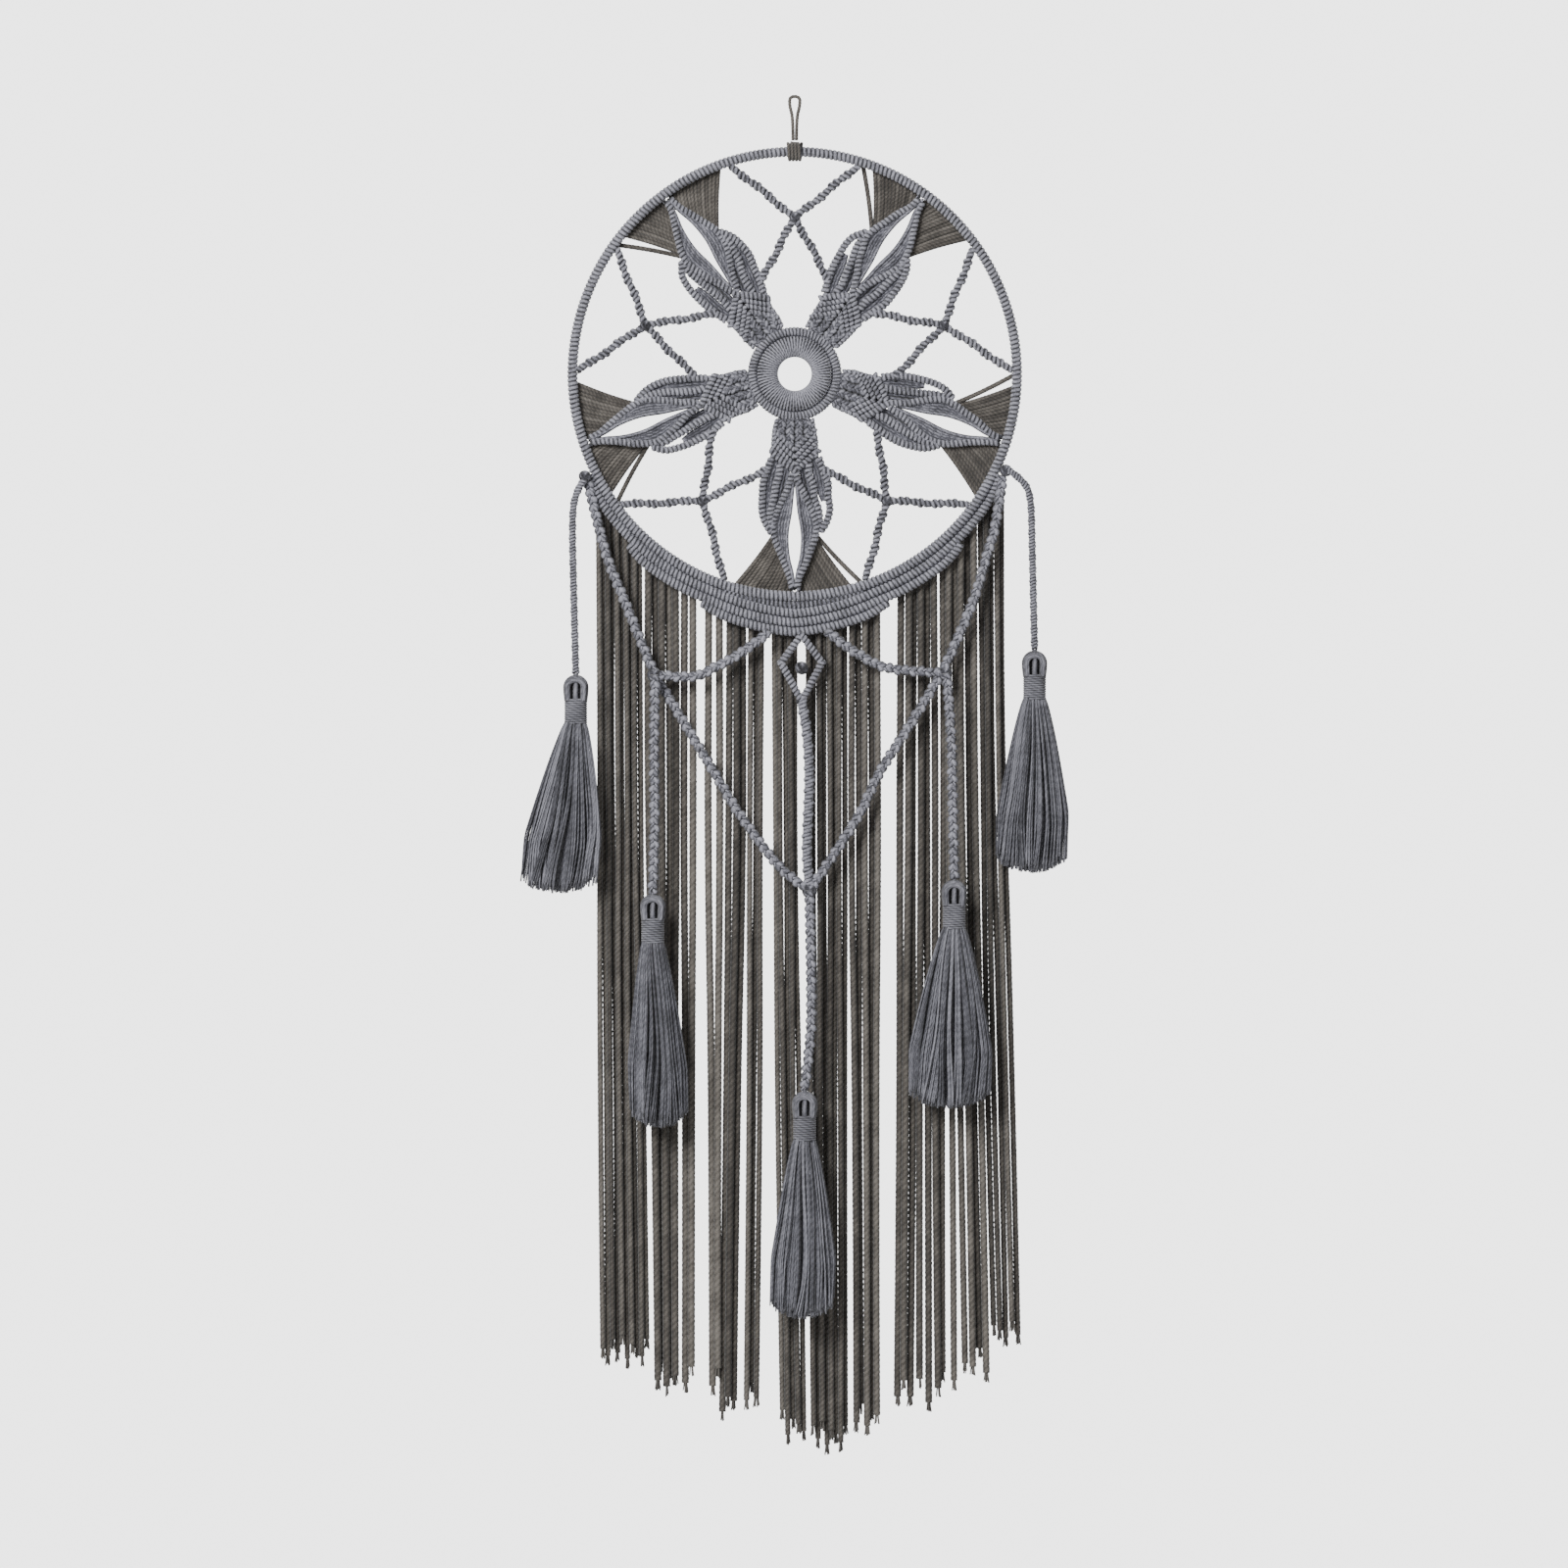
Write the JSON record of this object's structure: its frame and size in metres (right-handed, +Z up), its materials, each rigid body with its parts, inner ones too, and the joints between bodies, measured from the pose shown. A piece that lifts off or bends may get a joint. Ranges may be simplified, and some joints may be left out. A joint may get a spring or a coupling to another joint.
{
  "type": "dream catcher",
  "caption": "Macrame dream catcher: a cord-wrapped hoop with a knotted flower web, swags, hanging tassels and a long fringe, hung from a cord loop.",
  "frame": {"origin": "inside top of the hanging loop's eye, where the nail or hook goes", "axes": "+Z up, the front of the hoop towards -Y, +X to the right seen from the front"},
  "size_m": [0.363, 0.034, 0.8992],
  "materials": {
    "knotted_cotton": "grey cotton cord in half hitches and square knots",
    "plain_cord": "grey plied cotton cord, cut ends frayed",
    "tassel_thread": "fine grey cotton thread",
    "steel_ring": "bare steel ring under the wrap"
  },
  "bodies": {
    "hanger": {"hanging_loop": "plain_cord"},
    "lark_head": {"hanging_knot": "plain_cord"},
    "hoop": {"hoop_core": "steel_ring", "hoop_wrap": "knotted_cotton", "centre_ring_core": "steel_ring", "centre_ring_wrap": "knotted_cotton", "centre_collar": "knotted_cotton", "petal_1": "knotted_cotton", "petal_2": "knotted_cotton", "petal_3": "knotted_cotton", "petal_4": "knotted_cotton", "petal_5": "knotted_cotton", "fan_1": "plain_cord", "fan_2": "plain_cord", "fan_3": "plain_cord", "fan_4": "plain_cord", "fan_5": "plain_cord", "net_cross_1": "knotted_cotton", "net_cross_2": "knotted_cotton", "net_cross_3": "knotted_cotton", "net_cross_4": "knotted_cotton", "net_cross_5": "knotted_cotton", "hitch_row_1": "knotted_cotton", "hitch_row_2": "knotted_cotton", "hitch_row_3": "knotted_cotton", "diamond_frame": "knotted_cotton", "diamond_knot": "knotted_cotton", "swag_left": "knotted_cotton", "swag_right": "knotted_cotton", "swag_inner_left": "knotted_cotton", "swag_inner_right": "knotted_cotton", "centre_braid": "knotted_cotton", "swag_knot_left": "knotted_cotton", "swag_knot_right": "knotted_cotton", "swag_knot_point": "knotted_cotton"},
    "side_cord_left": {"side_cord_left": "knotted_cotton"},
    "side_cord_right": {"side_cord_right": "knotted_cotton"},
    "braid_left": {"braid_left": "knotted_cotton"},
    "braid_centre": {"braid_centre": "knotted_cotton"},
    "braid_right": {"braid_right": "knotted_cotton"},
    "tassel_outer_left": {"tassel_outer_left_head": "tassel_thread", "tassel_outer_left_binding": "tassel_thread", "tassel_outer_left_skirt": "tassel_thread"},
    "tassel_inner_left": {"tassel_inner_left_head": "tassel_thread", "tassel_inner_left_binding": "tassel_thread", "tassel_inner_left_skirt": "tassel_thread"},
    "tassel_centre": {"tassel_centre_head": "tassel_thread", "tassel_centre_binding": "tassel_thread", "tassel_centre_skirt": "tassel_thread"},
    "tassel_inner_right": {"tassel_inner_right_head": "tassel_thread", "tassel_inner_right_binding": "tassel_thread", "tassel_inner_right_skirt": "tassel_thread"},
    "tassel_outer_right": {"tassel_outer_right_head": "tassel_thread", "tassel_outer_right_binding": "tassel_thread", "tassel_outer_right_skirt": "tassel_thread"},
    "fringe_far_left": {"fringe_far_left": "plain_cord"},
    "fringe_left": {"fringe_left": "plain_cord"},
    "fringe_centre": {"fringe_centre": "plain_cord"},
    "fringe_right": {"fringe_right": "plain_cord"},
    "fringe_far_right": {"fringe_far_right": "plain_cord"}
  },
  "joints": [
    {"name": "hang_twist", "type": "hinge", "parent": "hanger", "child": "lark_head", "pos_m": [0, 0, -0.0286], "axis": [0, 0, 1], "range_deg": [-180, 180]},
    {"name": "hoop_tilt", "type": "hinge", "parent": "lark_head", "child": "hoop", "pos_m": [0, 0, -0.0354], "axis": [1, 0, 0], "range_deg": [-25, 25]},
    {"name": "side_cord_left_swing", "type": "hinge", "parent": "hoop", "child": "side_cord_left", "pos_m": [-0.1395, -0.0085, -0.25296], "axis": [0, 1, 0], "range_deg": [-4, 25]},
    {"name": "side_cord_right_swing", "type": "hinge", "parent": "hoop", "child": "side_cord_right", "pos_m": [0.1405, -0.0085, -0.24596], "axis": [0, 1, 0], "range_deg": [-25, 3]},
    {"name": "braid_left_swing", "type": "hinge", "parent": "hoop", "child": "braid_left", "pos_m": [-0.0928, -0.015, -0.3818], "axis": [0, 1, 0], "range_deg": [-7, 7]},
    {"name": "braid_right_swing", "type": "hinge", "parent": "hoop", "child": "braid_right", "pos_m": [0.0991, -0.015, -0.3805], "axis": [0, 1, 0], "range_deg": [-7, 7]},
    {"name": "braid_centre_swing", "type": "hinge", "parent": "hoop", "child": "braid_centre", "pos_m": [0.0097, -0.015, -0.524], "axis": [0, 1, 0], "range_deg": [-10, 10]},
    {"name": "tassel_outer_left_nod", "type": "hinge", "parent": "side_cord_left", "child": "tassel_outer_left", "pos_m": [-0.1445, -0.008, -0.38936], "axis": [1, 0, 0], "range_deg": [-30, 0]},
    {"name": "tassel_inner_left_nod", "type": "hinge", "parent": "braid_left", "child": "tassel_inner_left", "pos_m": [-0.0935, -0.015, -0.5339], "axis": [1, 0, 0], "range_deg": [-30, 0]},
    {"name": "tassel_centre_nod", "type": "hinge", "parent": "braid_centre", "child": "tassel_centre", "pos_m": [0.0065, -0.015, -0.6639], "axis": [1, 0, 0], "range_deg": [-30, 0]},
    {"name": "tassel_inner_right_nod", "type": "hinge", "parent": "braid_right", "child": "tassel_inner_right", "pos_m": [0.105, -0.015, -0.5244], "axis": [1, 0, 0], "range_deg": [-30, 0]},
    {"name": "tassel_outer_right_nod", "type": "hinge", "parent": "side_cord_right", "child": "tassel_outer_right", "pos_m": [0.1583, -0.008, -0.37336], "axis": [1, 0, 0], "range_deg": [-30, 0]},
    {"name": "fringe_far_left_sway", "type": "hinge", "parent": "hoop", "child": "fringe_far_left", "pos_m": [-0.115, 0.0072, -0.27], "axis": [1, 0, 0], "range_deg": [0, 12]},
    {"name": "fringe_left_sway", "type": "hinge", "parent": "hoop", "child": "fringe_left", "pos_m": [-0.06, 0.0072, -0.3133], "axis": [1, 0, 0], "range_deg": [0, 12]},
    {"name": "fringe_centre_sway", "type": "hinge", "parent": "hoop", "child": "fringe_centre", "pos_m": [0.01, 0.0072, -0.35], "axis": [1, 0, 0], "range_deg": [0, 12]},
    {"name": "fringe_right_sway", "type": "hinge", "parent": "hoop", "child": "fringe_right", "pos_m": [0.065, 0.0072, -0.3168], "axis": [1, 0, 0], "range_deg": [0, 12]},
    {"name": "fringe_far_right_sway", "type": "hinge", "parent": "hoop", "child": "fringe_far_right", "pos_m": [0.118, 0.0072, -0.2585], "axis": [1, 0, 0], "range_deg": [0, 12]}
  ]
}
